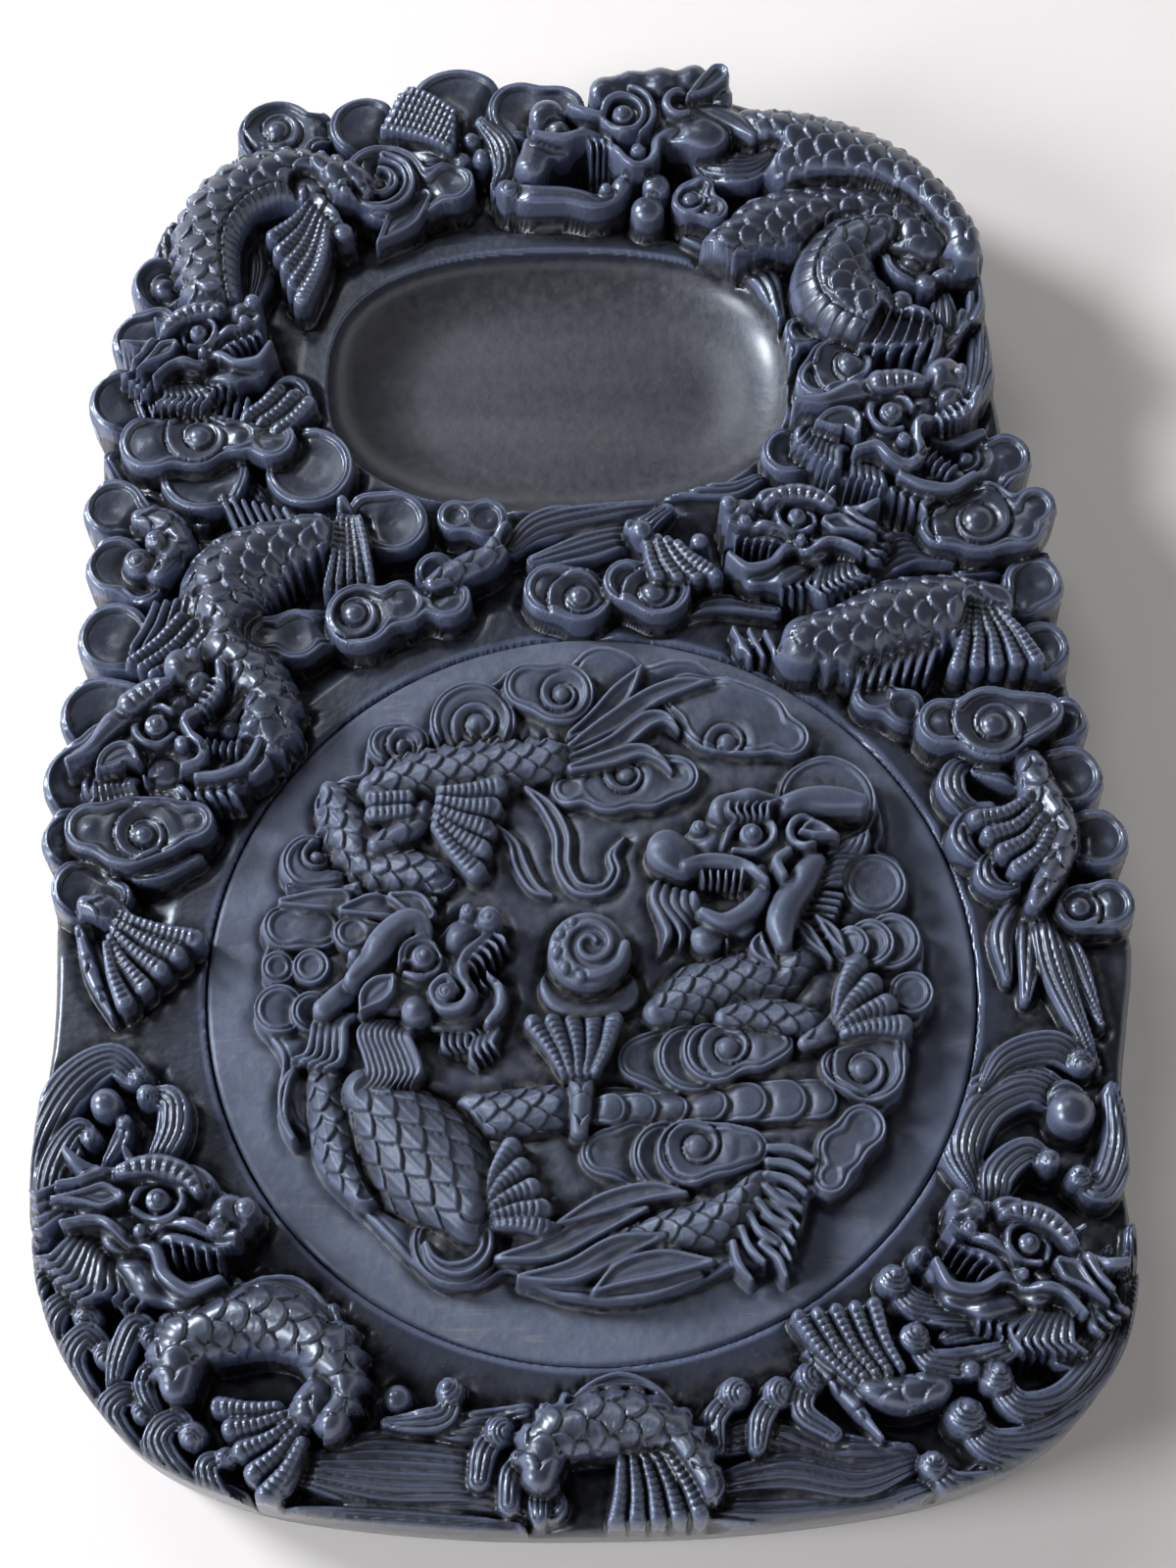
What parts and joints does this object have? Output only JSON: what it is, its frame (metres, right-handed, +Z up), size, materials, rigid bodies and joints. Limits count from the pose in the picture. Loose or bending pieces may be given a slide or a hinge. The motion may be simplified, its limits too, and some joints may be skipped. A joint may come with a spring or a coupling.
{
  "type": "ink stone",
  "caption": "Carved ink stone with an oval pool, a round lidded grinding well, and dragons, clouds and waves in deep relief on the stone and on its lift-off lid.",
  "frame": {"origin": "middle of the base, on the surface that the stone stands on", "axes": "+Z up, +Y along the stone towards the end with the oval pool, +X to the right of a person who has the lidded end nearest"},
  "size_m": [0.201, 0.2946, 0.039],
  "materials": {
    "body_stone": "dark blue-black stone, hand polished to a satin sheen, paler where it is rubbed",
    "lid_stone": "the same dark blue-grey stone, more matt, with pale stone dust in the carving"
  },
  "bodies": {
    "stone_body": {"stone_body": "body_stone"},
    "lid": {"lid": "lid_stone"}
  },
  "joints": [
    {"name": "lid_lift", "type": "slide", "parent": "stone_body", "child": "lid", "axis": [0, 0, 1], "range_m": [0, 0.06]}
  ]
}
